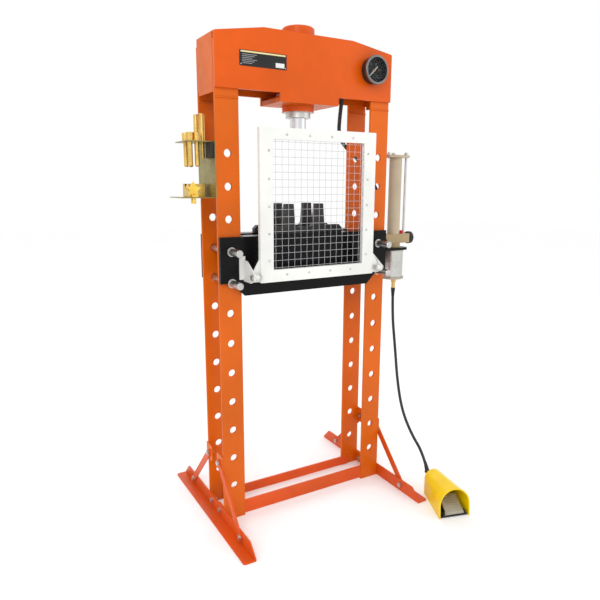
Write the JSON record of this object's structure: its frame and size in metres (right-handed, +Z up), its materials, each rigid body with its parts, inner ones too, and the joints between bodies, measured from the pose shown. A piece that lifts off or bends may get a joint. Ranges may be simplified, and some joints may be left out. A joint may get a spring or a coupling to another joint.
{
  "type": "hydraulic shop press",
  "caption": "Floor-standing H-frame hydraulic press with air pump, foot pedal, height-set bed, mesh guard and tool tray; the ram squeezes work down onto the bed.",
  "frame": {"origin": "on the floor, midway between the four uprights and straight under the ram", "axes": "+X to the press's right, where the pump is; +Y to its back; +Z up"},
  "size_m": [1.035, 0.86, 1.79],
  "materials": {
    "frame_paint": "satin orange enamel",
    "bed_paint": "gloss black enamel",
    "guard_paint": "white powder coat",
    "wire": "galvanised wire",
    "ground_steel": "ground and hard-chromed rod",
    "bright_steel": "bright steel",
    "zinc": "yellow zinc plate",
    "black_steel": "black oxide",
    "tube_bronze": "bronze-grey paint",
    "cast_black": "painted casting",
    "alloy": "machined aluminium",
    "hose_rubber": "matte rubber",
    "red_plastic": "moulded",
    "black_plastic": "moulded",
    "yellow_plastic": "moulded yellow",
    "dial": "printed dial",
    "needle_white": "white",
    "clear": "clear glass",
    "plate_print": "printed plate, no lettering",
    "brass_part": "turned brass"
  },
  "bodies": {
    "press": {"upright_front_left": "frame_paint", "upright_front_right": "frame_paint", "upright_rear_left": "frame_paint", "upright_rear_right": "frame_paint", "foot_left": "frame_paint", "foot_right": "frame_paint", "braces": "frame_paint", "cross_bar_front": "frame_paint", "cross_bar_rear": "frame_paint", "frame_bolts": "bright_steel", "head_front_plate": "frame_paint", "head_rear_plate": "frame_paint", "head_cover": "frame_paint", "cylinder_seat": "frame_paint", "cylinder_barrel": "frame_paint", "cylinder_gland": "bright_steel", "name_plate": "plate_print", "gauge_can": "black_steel", "gauge_bezel": "bright_steel", "gauge_dial": "dial", "gauge_glass": "clear", "pump_bracket": "bed_paint", "valve_block": "tube_bronze", "oil_tube": "tube_bronze", "oil_tube_cap": "tube_bronze", "tie_rods": "bright_steel", "air_motor": "alloy", "air_motor_flanges": "alloy", "air_fitting": "brass_part", "overload_cap": "red_plastic", "oil_hose": "hose_rubber", "oil_hose_ends": "bright_steel", "air_hose": "hose_rubber", "pedal_hood": "yellow_plastic", "pedal_base": "black_plastic", "pedal_valve": "cast_black", "tool_tray": "zinc", "tray_clip": "black_steel"},
    "ram": {"ram_rod": "ground_steel", "ram_piston": "black_steel"},
    "bed": {"bed_beam_front": "bed_paint", "bed_beam_rear": "bed_paint", "bed_ties": "bed_paint", "guard_brackets": "guard_paint", "guard_hinge_bolts": "bright_steel"},
    "pin_lower_left": {"bed_pin_lower_left": "bright_steel"},
    "pin_lower_right": {"bed_pin_lower_right": "bright_steel"},
    "pin_upper_left": {"bed_pin_upper_left": "bright_steel"},
    "pin_upper_right": {"bed_pin_upper_right": "bright_steel"},
    "arbor_front": {"arbor_plate_front": "black_steel"},
    "arbor_rear": {"arbor_plate_rear": "black_steel"},
    "guard": {"guard_frame": "guard_paint", "guard_mesh": "wire"},
    "needle": {"gauge_needle": "needle_white"},
    "knob": {"release_knob": "black_plastic"},
    "treadle": {"pedal_treadle": "alloy"},
    "short_punch_set": {"short_punches": "zinc"},
    "tall_punch_set": {"tall_punches": "zinc"},
    "star": {"star_adapter": "zinc"},
    "vee": {"vee_block": "zinc"}
  },
  "joints": [
    {"name": "ram_stroke", "type": "slide", "parent": "press", "child": "ram", "axis": [0, 0, -1], "range_m": [0, 0.15], "stiffness_N_per_m": 3000, "springref_m": -0.05},
    {"name": "bed_height", "type": "slide", "parent": "press", "child": "bed", "axis": [0, 0, 1], "range_m": [-0.44, 0.22]},
    {"name": "guard_swing", "type": "hinge", "parent": "bed", "child": "guard", "pos_m": [0, -0.171, 0.935], "axis": [1, 0, 0], "range_deg": [0, 90]},
    {"name": "arbor_front_lift", "type": "slide", "parent": "bed", "child": "arbor_front", "axis": [0, 0, 1], "range_m": [0, 0.1]},
    {"name": "arbor_rear_lift", "type": "slide", "parent": "bed", "child": "arbor_rear", "axis": [0, 0, 1], "range_m": [0, 0.1]},
    {"name": "gauge_needle_turn", "type": "hinge", "parent": "press", "child": "needle", "pos_m": [0.262, -0.1075, 1.657], "axis": [0, 1, 0], "range_deg": [0, 270], "stiffness_Nm_per_rad": 0.002, "springref_deg": -11.46},
    {"name": "release_turn", "type": "hinge", "parent": "press", "child": "knob", "pos_m": [0.5375, 0, 1.023], "axis": [1, 0, 0], "range_deg": [0, 360]},
    {"name": "treadle_press", "type": "hinge", "parent": "press", "child": "treadle", "pos_m": [0.41635, -0.48275, 0.014], "axis": [-0.9613, 0.2756, 0], "range_deg": [0, 6], "stiffness_Nm_per_rad": 20, "springref_deg": -5.73},
    {"name": "short_punches_lift", "type": "slide", "parent": "press", "child": "short_punch_set", "axis": [0, 0, 1], "range_m": [0, 0.12]},
    {"name": "tall_punches_lift", "type": "slide", "parent": "press", "child": "tall_punch_set", "axis": [0, 0, 1], "range_m": [0, 0.08]},
    {"name": "star_lift", "type": "slide", "parent": "press", "child": "star", "axis": [0, 0, 1], "range_m": [0, 0.04]},
    {"name": "vee_lift", "type": "slide", "parent": "press", "child": "vee", "axis": [0, 0, 1], "range_m": [0, 0.05]},
    {"name": "pin_lower_left_pull", "type": "slide", "parent": "bed", "child": "pin_lower_left", "axis": [0, -1, 0], "range_m": [0, 0.28]},
    {"name": "pin_lower_right_pull", "type": "slide", "parent": "bed", "child": "pin_lower_right", "axis": [0, -1, 0], "range_m": [0, 0.28]},
    {"name": "pin_upper_left_pull", "type": "slide", "parent": "bed", "child": "pin_upper_left", "axis": [0, -1, 0], "range_m": [0, 0.28]},
    {"name": "pin_upper_right_pull", "type": "slide", "parent": "bed", "child": "pin_upper_right", "axis": [0, -1, 0], "range_m": [0, 0.28]}
  ]
}
